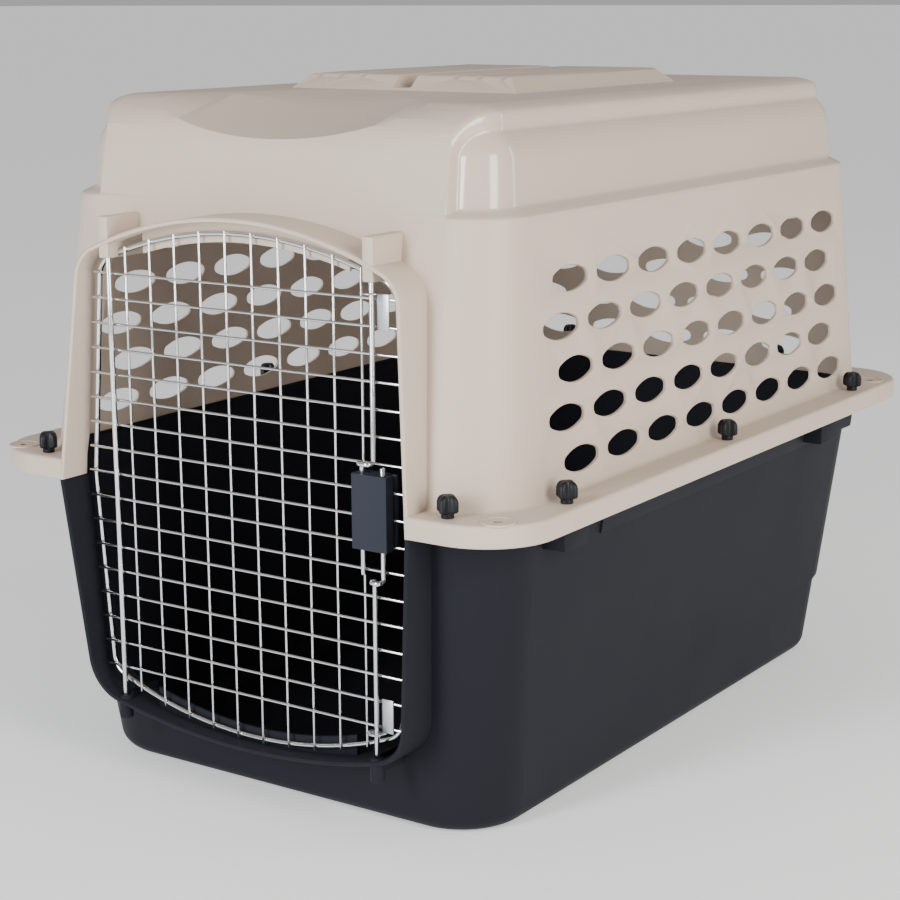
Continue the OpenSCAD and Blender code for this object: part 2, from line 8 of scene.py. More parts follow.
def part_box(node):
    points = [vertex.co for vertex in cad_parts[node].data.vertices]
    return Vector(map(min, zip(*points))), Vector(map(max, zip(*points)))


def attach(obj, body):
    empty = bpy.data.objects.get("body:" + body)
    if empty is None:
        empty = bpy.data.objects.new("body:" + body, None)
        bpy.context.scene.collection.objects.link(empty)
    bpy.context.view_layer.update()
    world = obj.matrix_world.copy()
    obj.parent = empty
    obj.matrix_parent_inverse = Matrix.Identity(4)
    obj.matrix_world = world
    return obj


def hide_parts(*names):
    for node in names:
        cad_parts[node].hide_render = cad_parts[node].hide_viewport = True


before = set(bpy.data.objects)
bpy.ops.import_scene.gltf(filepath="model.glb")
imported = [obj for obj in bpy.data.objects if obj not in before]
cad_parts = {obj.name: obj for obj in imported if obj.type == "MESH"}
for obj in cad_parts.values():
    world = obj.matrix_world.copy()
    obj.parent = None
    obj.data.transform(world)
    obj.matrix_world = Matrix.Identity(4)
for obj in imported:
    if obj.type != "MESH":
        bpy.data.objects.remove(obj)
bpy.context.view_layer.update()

bl_info = {
    "name": "Pet transport carrier",
    "version": (1, 0, 0),
    "blender": (4, 5, 0),
    "location": "View3D > Sidebar > Carrier",
    "description": "Builds a two-shell pet carrier with a wire door and a squeeze latch",
    "category": "Add Mesh",
}

# ---------- places taken from the frame ----------

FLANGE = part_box("upper_shell")
HALF_W = FLANGE[1][0]
HALF_L = FLANGE[1][1]
SEAM = FLANGE[0][2]
PAD_TOP = FLANGE[1][2]
ROD_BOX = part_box("door_frame_rod")
HINGE_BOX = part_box("hinge_rod")
UPRIGHT_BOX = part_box("door_upright_wires")
LEVEL_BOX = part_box("door_level_wires")
COVER_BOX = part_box("latch_cover")
BACKER_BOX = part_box("latch_backer")
UPPER_ROD_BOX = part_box("upper_latch_rod")
LOWER_ROD_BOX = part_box("lower_latch_rod")

# ---------- sizes of the shells, in metres ----------

MM = 0.001
WALL = 3.5 * MM
SKIRT = 21 * MM
FLANGE_TOP = SEAM + SKIRT
FLANGE_T = 4 * MM
LEDGE = 37 * MM
FLANGE_R = 71 * MM
ROOF = 690 * MM
SIDE_X = HALF_W - LEDGE
FRONT_Y = HALF_L - 32 * MM
REAR_Y = HALF_L - LEDGE
SIDE_LEAN = 0.085
FRONT_LEAN = 0.14
CORNER_R = 74 * MM
CORNER_SHRINK = 0.07
CORNER_MIN = 4 * MM
EDGE_R = 50 * MM

SHOULDER_X = 207 * MM
SHOULDER_LOW = 590 * MM
SHOULDER_HIGH = 686 * MM
SHOULDER_R = 40 * MM
SHOULDER_IN = 13 * MM
SHOULDER_FADE = 11 * MM
SHOULDER_LEDGE_R = 5 * MM
SHOULDER_FRONT_LEAN = 0.6
LIP_OUT = 0.3 * MM
LIP_AT = 3.2 * MM
LIP_W = 1.9 * MM

# Hollow of the roof's front edge
DISH_R = 554 * MM
DISH_HALF = 158 * MM
DISH_FRONT = -380 * MM
DISH_LOW = ROOF - 37 * MM
DISH_SLOPE = 37 / 130
DISH_STEP = 90 * MM

# Roof platform
PAD_HALF = 146 * MM
PAD_ENDS = (-165 * MM, 175 * MM)
PAD_SLOPE = 22 * MM
SLOT_HALF = 11 * MM
NOTCHES = (59, 87, 115)
NOTCH_R = 6 * MM

BASE_LEAN = 0.112
BASE_REAR_LEAN = 0.078
BASE_SIDE = SIDE_X - WALL + 0.5 * MM
BASE_FRONT = FRONT_Y - WALL
BASE_REAR = REAR_Y - WALL
BASE_R = 70 * MM
BASE_TOP = FLANGE_TOP - FLANGE_T
FOOT_R = 16 * MM

# Band and brackets under the lower flange, and the step in the lower rear wall
BAND_LOW = 275 * MM
BAND_ENDS = (-225 * MM, 375 * MM)
BAND_OUT = 2.6 * MM
BRACKETS = ((-333, -289, 284), (238, 288, 280))
BRACKET_OUT = 304 * MM
STEP_Z = 92 * MM
STEP_IN = 10 * MM
STEP_RISE = 4 * MM
STEP_Y = 240 * MM
STEP_RUN = 60 * MM

# Hood round the door, measured from the seam
HOOD_W = 215 * MM
HOOD_LEAN = 0.085
HOOD_TILT = 0.072
HOOD_T = 4.5 * MM
HOOD_UP = {"height": 273 * MM, "arch": 435 * MM, "corner": 36 * MM}
HOOD_DOWN = {"height": 251 * MM, "arch": 690 * MM, "corner": 45 * MM}

# Door rod outline, measured from the seam
ROD_R = 2.7 * MM
ROD_HALF = 197.5 * MM
ROD_LEAN = 0.078
ROD_ARCH = 450 * MM
ROD_CORNER = 24 * MM
ROD_UP = ROD_BOX[1][2] - ROD_R - SEAM
ROD_DOWN = SEAM - ROD_BOX[0][2] - ROD_R
ROD_Y = -(HALF_L - 35.6 * MM)

# Ledges and sockets that stop and hold the door
STOP_HALF = 126 * MM
STOP_DROP = 9 * MM
TOWER_HALF = 6 * MM
TOWER_H = 41 * MM
WALL_IN = -385 * MM
POST_R = 7 * MM
POST_H = 24 * MM
BORE_GAP = 0.3 * MM

MESH_R = 1.3 * MM
MESH_PX = 31.87 * MM
MESH_PZ = 25.33 * MM
UPRIGHTS = 10
LEVELS = 17
LEVEL_TOP = LEVEL_BOX[1][2] - MESH_R
UPRIGHT_Y = (UPRIGHT_BOX[0][1] + UPRIGHT_BOX[1][1]) / 2
LEVEL_Y = (LEVEL_BOX[0][1] + LEVEL_BOX[1][1]) / 2
ROD_X = 160 * MM
LATCH_R = 2.4 * MM
HINGE_R = (HINGE_BOX[1][0] - HINGE_BOX[0][0]) / 2
HINGE_Y = (HINGE_BOX[0][1] + HINGE_BOX[1][1]) / 2
LATCH_Y = LEVEL_Y - MESH_R - LATCH_R - 1.3 * MM

VENT_L = 63.5 * MM
VENT_H = 24.2 * MM
VENT_PITCH = 80.9 * MM
VENT_ROW = 42.4 * MM
VENT_STEP = 10.8 * MM
VENT_ROWS = 5
VENT_TOP = SEAM + 218 * MM
SIDE_VENTS = 8
REAR_VENTS = 5
VENT_SHIFT = 2.5 * MM

# Latch
LATCH_WALL = 1.8 * MM
UPPER_PRONG_X = 147 * MM
LOWER_PRONG_X = 170 * MM
UPPER_CRANK_Z = 369.5 * MM
LOWER_CRANK_Z = 258.5 * MM
CRANK_OUT = 7.5 * MM
CRANK_BEND = 5 * MM
GUIDE_T = 1.2 * MM
GUIDE_H = 33 * MM
GUIDE_R = 9.5 * MM

# Bolts and tie holes; the two lists give their places in millimetres
BOLT_R = 2.95 * MM
BOLT_HEAD_R = 6 * MM
TIE_R = 4.5 * MM
TIE_PAD_R = 16 * MM
TIE_DISH_R = 14 * MM

BOLTS = {
    "nut_right_front": (307, -335), "nut_right_middle": (307, -10), "nut_right_rear": (307, 313),
    "nut_left_front": (-307, -335), "nut_left_middle": (-307, -10), "nut_left_rear": (-307, 313),
    "nut_front_right": (246, -439), "nut_front_left": (-246, -439),
    "nut_rear_right": (150, 439), "nut_rear_left": (-150, 439),
}
TIES = [(292, -428), (-292, -428), (300, 381), (-300, 381)]


# ---------- small helpers ----------

def deselect():
    """Leaves edit mode and clears the selection."""
    if bpy.context.object and bpy.context.object.mode != "OBJECT":
        bpy.ops.object.mode_set(mode="OBJECT")
    bpy.ops.object.select_all(action="DESELECT")


def activate(obj):
    deselect()
    obj.select_set(True)
    bpy.context.view_layer.objects.active = obj


def new_object(name, bm):
    mesh = bpy.data.meshes.new(name)
    bm.to_mesh(mesh)
    bm.free()
    obj = bpy.data.objects.new(name, mesh)
    bpy.context.scene.collection.objects.link(obj)
    return obj


def add_rings(bm, rings, closed=True, caps=True, loop=False):
    """Skins rings of points, all of one length. closed joins a ring's ends, loop joins last to first."""
    rows = [[bm.verts.new(p) for p in ring] for ring in rings]
    pairs = list(zip(rows, rows[1:])) + ([(rows[-1], rows[0])] if loop else [])
    n = len(rows[0])
    for a, b in pairs:
        for i in range(n if closed else n - 1):
            j = (i + 1) % n
            bm.faces.new((a[i], a[j], b[j], b[i]))
    if caps and closed:
        bm.faces.new(list(reversed(rows[0])))
        bm.faces.new(rows[-1])
    if caps and loop and not closed:
        bm.faces.new([r[0] for r in rows])
        bm.faces.new([r[-1] for r in reversed(rows)])


def ring_object(name, rings, closed=True, caps=True, loop=False):
    bm = bmesh.new()
    add_rings(bm, rings, closed, caps, loop)
    bmesh.ops.recalc_face_normals(bm, faces=bm.faces)
    return new_object(name, bm)


def boolean(obj, cutter):
    """Cuts one closed piece out of another and removes the cutter."""
    activate(obj)
    mod = obj.modifiers.new("cut", "BOOLEAN")
    mod.object = cutter
    mod.operation = "DIFFERENCE"
    mod.solver = "EXACT"
    bpy.ops.object.modifier_apply(modifier=mod.name)
    bpy.data.objects.remove(cutter)
    if not obj.data.polygons:
        raise RuntimeError(f"{obj.name} was lost in a boolean")


def join(name, objs):
    deselect()
    for o in objs:
        o.select_set(True)
    bpy.context.view_layer.objects.active = objs[0]
    bpy.ops.object.join()
    objs[0].name = name
    objs[0].data.name = name
    return objs[0]


def copy_object(obj, name):
    twin = obj.copy()
    twin.data = obj.data.copy()
    twin.name = name
    bpy.context.scene.collection.objects.link(twin)
    return twin


def box(name, lo, hi, bevel=0.0, segments=3):
    """A cube between two corners, with its edges rounded in edit mode."""
    deselect()
    bpy.ops.mesh.primitive_cube_add(size=1)
    obj = bpy.context.object
    obj.name = name
    size = [b - a for a, b in zip(lo, hi)]
    middle = [(a + b) / 2 for a, b in zip(lo, hi)]
    obj.data.transform(Matrix.Translation(middle) @ Matrix.Diagonal((*size, 1)))
    if bevel:
        bpy.ops.object.mode_set(mode="EDIT")
        bpy.ops.mesh.select_all(action="SELECT")
        bpy.ops.mesh.bevel(offset=bevel, segments=segments, profile=0.5)
        bpy.ops.object.mode_set(mode="OBJECT")
    return obj


def cylinder(name, r, z0, z1, x=0.0, y=0.0, vertices=48, bevel=0.0, segments=3):
    """An upright round bar at the origin, moved in its mesh, with its rims rounded in edit mode."""
    deselect()
    bpy.ops.mesh.primitive_cylinder_add(vertices=vertices, radius=r, depth=z1 - z0)
    obj = bpy.context.object
    obj.name = name
    if bevel:
        bpy.ops.object.mode_set(mode="EDIT")
        bpy.ops.mesh.select_all(action="DESELECT")
        mesh = bmesh.from_edit_mesh(obj.data)
        for e in mesh.edges:
            e.select = len({round(v.co.z, 6) for v in e.verts}) == 1
        bmesh.update_edit_mesh(obj.data)
        bpy.ops.mesh.bevel(offset=bevel, segments=segments, profile=0.5)
        bpy.ops.object.mode_set(mode="OBJECT")
    obj.data.transform(Matrix.Translation((x, y, (z0 + z1) / 2)))
    return obj


def tube(bm, points, r, sides=14, closed=False):
    """Round rod swept along points, with slightly rounded ends."""
    points = [Vector(p) for p in points]
    n = len(points)
    dirs = []
    for i in range(n):
        a = points[i - 1] if i > 0 or closed else points[i]
        b = points[(i + 1) % n] if i < n - 1 or closed else points[i]
        dirs.append((b - a).normalized())
    side = dirs[0].orthogonal().normalized()
    stations = []
    for p, d in zip(points, dirs):
        side = (side - d * side.dot(d)).normalized()
        stations.append((p, d, side, d.cross(side)))

    def ring(station, rr, shift=0.0):
        p, d, side, up = station
        return [p + d * shift + (side * math.cos(t) + up * math.sin(t)) * rr
                for t in (2 * math.pi * k / sides for k in range(sides))]

    rings = [ring(station, r) for station in stations]
    if not closed:
        first, last = stations[0], stations[-1]
        rings[0:1] = [ring(first, r * 0.6), ring(first, r * 0.9, r * 0.12), ring(first, r, r * 0.4)]
        rings[-1:] = [ring(last, r, -r * 0.4), ring(last, r * 0.9, -r * 0.12), ring(last, r * 0.6)]
    add_rings(bm, rings, closed=True, caps=not closed, loop=closed)


def rounded_path(corners, radius, steps=8):
    """Points along straight stretches joined by round bends."""
    pts = [Vector(corners[0])]
    for a, b, c in zip(corners, corners[1:], corners[2:]):
        a, b, c = Vector(a), Vector(b), Vector(c)
        u, v = (a - b).normalized(), (c - b).normalized()
        half = u.angle(v) / 2
        back = min(radius / math.tan(half), (a - b).length * 0.48, (c - b).length * 0.48)
        r = back * math.tan(half)
        centre = b + (u + v).normalized() * (r / math.sin(half))
        p0, p1 = b + u * back - centre, b + v * back - centre
        turn = p0.angle(p1)
        for k in range(steps + 1):
            t = k / steps
            q = (p0 * math.sin((1 - t) * turn) + p1 * math.sin(t * turn)) / math.sin(turn)
            pts.append(centre + q)
    pts.append(Vector(corners[-1]))
    return pts


def rod_object(name, paths, r, sides=14, closed=False):
    bm = bmesh.new()
    for path in paths:
        tube(bm, path, r, sides, closed)
    bmesh.ops.recalc_face_normals(bm, faces=bm.faces)
    return new_object(name, bm)


def hand_over(obj, node_names, body, slot, *materials, smooth=35):
    """Shades a finished piece, gives it its materials, and puts it in its CAD nodes' place."""
    activate(obj)
    bpy.ops.object.shade_smooth_by_angle(angle=math.radians(smooth))
    if materials and not obj.data.materials:
        for m in materials:
            obj.data.materials.append(m)
    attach(obj, body)
    if node_names:
        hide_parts(*node_names)
    return obj


# ---------- outlines ----------

def plan(hx, yf, yr, r, corner_steps, side_steps):
    """Rounded rectangle from above, as (x, y) points that start at the middle of the front."""
    pts = []
    centres = [(hx - r, -yf + r, -90), (hx - r, yr - r, 0), (-hx + r, yr - r, 90), (-hx + r, -yf + r, 180)]
    for k, (cx, cy, a0) in enumerate(centres):
        for i in range(corner_steps + 1):
            a = math.radians(a0 + 90 * i / corner_steps)
            pts.append((cx + r * math.cos(a), cy + r * math.sin(a)))
        nx, ny, na = centres[(k + 1) % 4]
        a = math.radians(na)
        end = (nx + r * math.cos(a), ny + r * math.sin(a))
        start = pts[-1]
        for i in range(1, side_steps):
            t = i / side_steps
            pts.append((start[0] + (end[0] - start[0]) * t, start[1] + (end[1] - start[1]) * t))
    return pts


def upper_plan(z, inset, corner_steps, side_steps):
    rise = z - FLANGE_TOP
    return plan(SIDE_X - SIDE_LEAN * rise - inset, FRONT_Y - FRONT_LEAN * rise - inset,
                REAR_Y - SIDE_LEAN * rise - inset,
                max(CORNER_R - CORNER_SHRINK * rise - inset, CORNER_MIN), corner_steps, side_steps)


def lower_plan(z, inset, corner_steps, side_steps):
    fall = BASE_TOP - FLANGE_T - z
    return plan(BASE_SIDE - BASE_LEAN * fall - inset, BASE_FRONT - BASE_LEAN * fall - inset,
                BASE_REAR - BASE_REAR_LEAN * fall - inset, BASE_R - inset, corner_steps, side_steps)


def corner_centre(w, lean, arch, height, c):
    """Centre of the arc that joins a leaning side to a top arch."""
    a = w - c * math.sqrt(1 + lean * lean)
    k = height - arch
    qa = 1 + lean * lean
    qb = -2 * (a * lean + k)
    qc = a * a + k * k - (arch - c) ** 2
    u = (-qb + math.sqrt(qb * qb - 4 * qa * qc)) / (2 * qa)
    return a - lean * u, u


def arch_path(w, lean, arch, height, c, sides=10, bend=10, top=36):
    """Arched outline from the right foot over the top to the left foot, as (x, height) points."""
    px, pz = corner_centre(w, lean, arch, height, c)
    a0 = math.atan(lean)
    a1 = math.atan2(pz - (height - arch), px)
    foot = (px + c * math.cos(a0), pz + c * math.sin(a0))
    half = [(w + (foot[0] - w) * i / sides, foot[1] * i / sides) for i in range(sides)]
    for i in range(bend + 1):
        a = a0 + (a1 - a0) * i / bend
        half.append((px + c * math.cos(a), pz + c * math.sin(a)))
    for i in range(1, top // 2):
        a = a1 + (math.pi / 2 - a1) * i / (top // 2)
        half.append((arch * math.cos(a), height - arch + arch * math.sin(a)))
    return half + [(0.0, height)] + [(-x, h) for x, h in reversed(half)]


def hood_path(kind, inset):
    """Outline of one half of the hood, moved in by inset."""
    return arch_path(HOOD_W - inset, HOOD_LEAN, kind["arch"] - inset, kind["height"] - inset,
                     kind["corner"] - inset)


# ---------- materials ----------

def node(tree, kind, x, y, **values):
    n = tree.nodes.new(kind)
    n.location = (x, y)
    for key, value in values.items():
        n.inputs[key.replace("_", " ")].default_value = value
    return n


def start_material(name):
    mat = bpy.data.materials.new(name)
    mat.use_nodes = True
    tree = mat.node_tree
    coords = tree.nodes.new("ShaderNodeTexCoord")
    coords.location = (-1100, 0)
    return mat, tree, tree.nodes["Principled BSDF"], coords


def moulded_plastic(name, colour, roughness, grain, grain_height, tint, specular=0.5):
    """Injection-moulded plastic: spark-eroded grain, slight flow mottling and uneven gloss."""
    mat, tree, shader, coords = start_material(name)
    link = tree.links.new
    flow = node(tree, "ShaderNodeTexNoise", -850, 250, Scale=9.0, Detail=3.0, Roughness=0.55)
    fine = node(tree, "ShaderNodeTexNoise", -850, -100, Scale=grain, Detail=2.0, Roughness=0.6)
    link(coords.outputs["Object"], flow.inputs["Vector"])
    link(coords.outputs["Object"], fine.inputs["Vector"])
    ramp = tree.nodes.new("ShaderNodeValToRGB")
    ramp.location = (-600, 250)
    ramp.color_ramp.elements[0].position = 0.3
    ramp.color_ramp.elements[1].position = 0.7
    ramp.color_ramp.elements[0].color = (*[c * (1 - tint) for c in colour], 1)
    ramp.color_ramp.elements[1].color = (*[min(1, c * (1 + tint)) for c in colour], 1)
    link(flow.outputs["Fac"], ramp.inputs["Fac"])
    link(ramp.outputs["Color"], shader.inputs["Base Color"])
    gloss = node(tree, "ShaderNodeMapRange", -600, 0, **{
        "From_Min": 0.3, "From_Max": 0.7, "To_Min": roughness * 0.92, "To_Max": min(1, roughness * 1.08)})
    link(flow.outputs["Fac"], gloss.inputs["Value"])
    link(gloss.outputs["Result"], shader.inputs["Roughness"])
    bump = node(tree, "ShaderNodeBump", -300, -200, Strength=0.35, Distance=grain_height)
    link(fine.outputs["Fac"], bump.inputs["Height"])
    link(bump.outputs["Normal"], shader.inputs["Normal"])
    shader.inputs["Specular IOR Level"].default_value = specular
    return mat


def plated_metal(name, colour, roughness, streak):
    """Zinc-plated steel: bright, with faint draw marks and small changes of gloss."""
    mat, tree, shader, coords = start_material(name)
    link = tree.links.new
    patch = node(tree, "ShaderNodeTexNoise", -850, 200, Scale=streak, Detail=3.0, Roughness=0.6)
    link(coords.outputs["Object"], patch.inputs["Vector"])
    ramp = tree.nodes.new("ShaderNodeValToRGB")
    ramp.location = (-600, 250)
    ramp.color_ramp.elements[0].color = (*[c * 0.86 for c in colour], 1)
    ramp.color_ramp.elements[1].color = (*[min(1, c * 1.08) for c in colour], 1)
    link(patch.outputs["Fac"], ramp.inputs["Fac"])
    link(ramp.outputs["Color"], shader.inputs["Base Color"])
    gloss = node(tree, "ShaderNodeMapRange", -600, 0, **{
        "From_Min": 0.3, "From_Max": 0.7, "To_Min": roughness * 0.8, "To_Max": roughness * 1.25})
    link(patch.outputs["Fac"], gloss.inputs["Value"])
    link(gloss.outputs["Result"], shader.inputs["Roughness"])
    shader.inputs["Metallic"].default_value = 1.0
    return mat


# ---------- settings ----------

def colour_property(name, text, value):
    return bpy.props.FloatVectorProperty(name=name, description=text, subtype="COLOR", size=3,
                                         min=0, max=1, default=value)


class CarrierSettings(bpy.types.PropertyGroup):
    """Sizes and colours that a user of the carrier would change"""

    upper_colour: colour_property("Upper shell", "Colour of the vented upper shell", (0.60, 0.49, 0.40))
    lower_colour: colour_property("Lower shell", "Colour of the solid lower shell", (0.0155, 0.016, 0.0215))
    latch_colour: colour_property("Latch box", "Colour of the latch housing", (0.024, 0.029, 0.041))
    nut_colour: colour_property("Hand nuts", "Colour of the hand nuts", (0.009, 0.0095, 0.012))
    wire_colour: colour_property("Door wire", "Colour of the plated wire", (0.78, 0.79, 0.81))
    wall: bpy.props.FloatProperty(name="Wall", description="Thickness of the moulded walls",
                                  default=WALL, min=0.002, max=0.006, unit="LENGTH")
    shoulder_depth: bpy.props.FloatProperty(name="Shoulder depth", description="Set-in of the shoulders",
                                            default=SHOULDER_IN, min=0.0, max=0.016, unit="LENGTH")
    vent_length: bpy.props.FloatProperty(name="Vent length", description="Length of one oval vent",
                                         default=VENT_L, min=0.03, max=0.07, unit="LENGTH")
    vent_height: bpy.props.FloatProperty(name="Vent height", description="Height of one oval vent",
                                         default=VENT_H, min=0.01, max=0.03, unit="LENGTH")
    nut_width: bpy.props.FloatProperty(name="Nut width", description="Width of a hand nut over its lobes",
                                       default=21 * MM, min=0.016, max=0.024, unit="LENGTH")
    key_light: bpy.props.FloatProperty(name="Key light", description="Power of the main soft light",
                                       default=100.0, min=0.0, max=600.0, unit="POWER")


# ---------- upper shell ----------

def smooth_step(t):
    """Eases from 0 to 1 as t goes from 0 to 1, and stays flat outside."""
    t = min(1.0, max(0.0, t))
    return t * t * (3 - 2 * t)


def shoulder_distance(co):
    """Distance from the outline of the shoulder panel, seen from the front; less than 0 inside it."""
    x, z = abs(co.x), co.z
    left = SHOULDER_X + SIDE_LEAN * (SHOULDER_LOW - z) * SHOULDER_FRONT_LEAN
    r = SHOULDER_R if z > (SHOULDER_LOW + SHOULDER_HIGH) / 2 else SHOULDER_LEDGE_R
    px = left + r - x
    pz = max(SHOULDER_LOW + r - z, z - (SHOULDER_HIGH - r))
    if px > 0 and pz > 0:
        return math.hypot(px, pz) - r
    return max(px, pz) - r


def upper_rings(inset, corner_steps, side_steps, levels, edge_steps):
    """Rings of the upper body from its lowest level to the flat of the roof."""
    top = ROOF - inset
    shoulder_top = top - EDGE_R
    rings = []
    for z in levels + [shoulder_top]:
        rings.append([(x, y, z) for x, y in upper_plan(z, inset, corner_steps, side_steps)])
    for i in range(1, edge_steps + 1):
        a = math.pi / 2 * i / edge_steps
        z = shoulder_top + EDGE_R * math.sin(a)
        rings.append([(x, y, z) for x, y in
                      upper_plan(z, inset + EDGE_R * (1 - math.cos(a)), corner_steps, side_steps)])
    return rings


def push_shoulder(obj, depth, lip, reach):
    """Sets the shoulder panels in by depth, behind a rounded riser with a slight lip outside it."""
    bm = bmesh.new()
    bm.from_mesh(obj.data)
    bm.normal_update()
    moves = []
    for v in bm.verts:
        d = shoulder_distance(v.co)
        inside = smooth_step((reach - d) / SHOULDER_FADE)
        bump = lip * math.exp(-((d - LIP_AT) / LIP_W) ** 2)
        if (inside > 0 or bump > 1e-6) and v.co.z > SHOULDER_LOW - 20 * MM:
            moves.append((v, v.normal * (bump - depth * inside)))
    for v, m in moves:
        v.co += m
    bm.to_mesh(obj.data)
    bm.free()


def dish_cutter(name, grow):
    """Hollow of the roof's front edge: a wide cylinder that rises backwards, between two side walls."""
    half = DISH_HALF + grow
    rings = []
    for y in (DISH_FRONT - DISH_STEP, DISH_FRONT, DISH_FRONT + DISH_STEP, DISH_FRONT + 2 * DISH_STEP):
        floor = []
        for i in range(41):
            x = -half + 2 * half * i / 40
            z = DISH_LOW + DISH_R - math.sqrt(DISH_R * DISH_R - x * x) - grow
            floor.append((x, y, z + (y - DISH_FRONT) * DISH_SLOPE))
        rings.append(floor + [(half, y, ROOF + 0.1), (-half, y, ROOF + 0.1)])
    return ring_object(name, rings)


def mouth_cutter(name, kind, up, inset, y0, y1, below):
    """Prism through the doorway, standing on the seam or hanging from it."""
    path = [(x, SEAM + up * h) for x, h in hood_path(kind, inset)]
    path = [(path[0][0], SEAM - up * below)] + path + [(path[-1][0], SEAM - up * below)]
    return ring_object(name, [[(x, y, z) for x, z in path] for y in (y0, y1)])


def oval(l, h, steps=44):
    """Oval made from two long arcs and two end arcs, as (u, v) points."""
    a, b = l / 2, h / 2
    r1 = b * 0.54
    r2 = ((a - r1) ** 2 + b * b - r1 * r1) / (2 * (b - r1))
    xt, yt = (a - r1) * r2 / (r2 - r1), (b - r2) - (b - r2) * r2 / (r2 - r1)
    end = math.atan2(yt, xt - (a - r1))
    quarter = []
    n = steps // 4
    for i in range(n // 2):
        t = end * i / (n // 2)
        quarter.append((a - r1 + r1 * math.cos(t), r1 * math.sin(t)))
    start = math.asin(xt / r2)
    for i in range(n - n // 2):
        t = start * (1 - i / (n - n // 2))
        quarter.append((r2 * math.sin(t), b - r2 + r2 * math.cos(t)))
    left = [(-x, y) for x, y in reversed(quarter[1:])]
    upper = quarter + [(0.0, b)] + left
    return upper + [(-a, 0.0)] + [(x, -y) for x, y in reversed(upper[1:])]


def vent_cutters(name, length, height, row):
    """Cutters for one row of vents, each with a rounded mouth on the outer face of the wall."""
    bm = bmesh.new()
    depths = [(-30 * MM, 0.0), (-1.3 * MM, 0.0), (-0.7 * MM, 0.25 * MM), (-0.25 * MM, 0.7 * MM),
              (0.2 * MM, 1.5 * MM), (6 * MM, 1.5 * MM)]

    def field(count, lean, wall_at, to_world, shift):
        tilt = math.atan(lean)
        z = VENT_TOP - row * VENT_ROW
        out = wall_at - lean * (z - FLANGE_TOP)
        for i in range(count):
            u0 = (i - (count - 1) / 2) * VENT_PITCH + shift * (1 if row % 2 == 0 else -1) * VENT_STEP
            rings = []
            for depth, flare in depths:
                ring = []
                for u, v in oval(length + 2 * flare, height + 2 * flare):
                    n = depth * math.cos(tilt) - v * math.sin(tilt)
                    h = depth * math.sin(tilt) + v * math.cos(tilt)
                    ring.append(to_world(u0 + u, out + n, z + h))
                rings.append(ring)
            add_rings(bm, rings)

    field(SIDE_VENTS, SIDE_LEAN, SIDE_X, lambda u, n, z: (n, u + VENT_SHIFT, z), 1)
    field(SIDE_VENTS, SIDE_LEAN, SIDE_X, lambda u, n, z: (-n, u - VENT_SHIFT, z), -1)
    field(REAR_VENTS, SIDE_LEAN, REAR_Y, lambda u, n, z: (u, n, z), 1)
    bmesh.ops.recalc_face_normals(bm, faces=bm.faces)
    return new_object(name, bm)


def flange_ring(name):
    """Upper flange with its hanging skirt and a fillet up to the wall."""
    cs, ss = 14, 6
    rings = []
    for z, off in ((6.5, -0.6), (4.2, 0.1), (2.2, 0.9), (0.9, 2.2), (0.1, 4.4), (0.0, 6.5)):
        zz = FLANGE_TOP + z * MM
        rings.append([(x, y, zz) for x, y in upper_plan(zz, -off * MM, cs, ss)])
    for a in (0, 22.5, 45, 67.5, 90):
        r = 3.2 * MM
        off = -r * (1 - math.sin(math.radians(a)))
        zz = FLANGE_TOP - r * (1 - math.cos(math.radians(a)))
        rings.append([(x, y, zz) for x, y in
                      plan(HALF_W + off, HALF_L + off, HALF_L + off, FLANGE_R + off, cs, ss)])
    for off, z in ((0.0, SEAM + 0.8 * MM), (-0.8 * MM, SEAM), (-WALL + 0.6 * MM, SEAM),
                   (-WALL, SEAM + 0.6 * MM), (-WALL, FLANGE_TOP - FLANGE_T)):
        rings.append([(x, y, z) for x, y in
                      plan(HALF_W + off, HALF_L + off, HALF_L + off, FLANGE_R + off, cs, ss)])
    zz = FLANGE_TOP - FLANGE_T
    rings.append([(x, y, zz) for x, y in upper_plan(zz, 1.0 * MM, cs, ss)])
    return ring_object(name, rings, closed=True, caps=False, loop=True)


def hood_sweep(name, kind, up, seam_gap):
    """Arched hood of one shell, with a rounded front lip, ending in the front wall."""
    t = HOOD_T
    lip = 1.6 * MM
    profile = [(0.0, "back", 0.0), (0.0, "front", lip), (0.25 * lip, "front", 0.45 * lip),
               (lip, "front", 0.0), (t - lip, "front", 0.0), (t - 0.25 * lip, "front", 0.45 * lip),
               (t, "front", lip), (t, "back", 0.0)]
    rings = []
    for inset, where, dy in profile:
        ring = []
        for x, h in hood_path(kind, inset):
            h = max(h, seam_gap)
            z = SEAM + up * h
            if where == "front":
                y = -HALF_L + HOOD_TILT * h + dy
            elif up > 0:
                y = -(FRONT_Y - FRONT_LEAN * max(0.0, z - FLANGE_TOP)) + 3 * MM
            else:
                y = -(BASE_FRONT - BASE_LEAN * (BASE_TOP - FLANGE_T - z)) + 3 * MM
            ring.append((x, y, z))
        rings.append(ring)
    return ring_object(name, rings, closed=False, caps=True, loop=True)


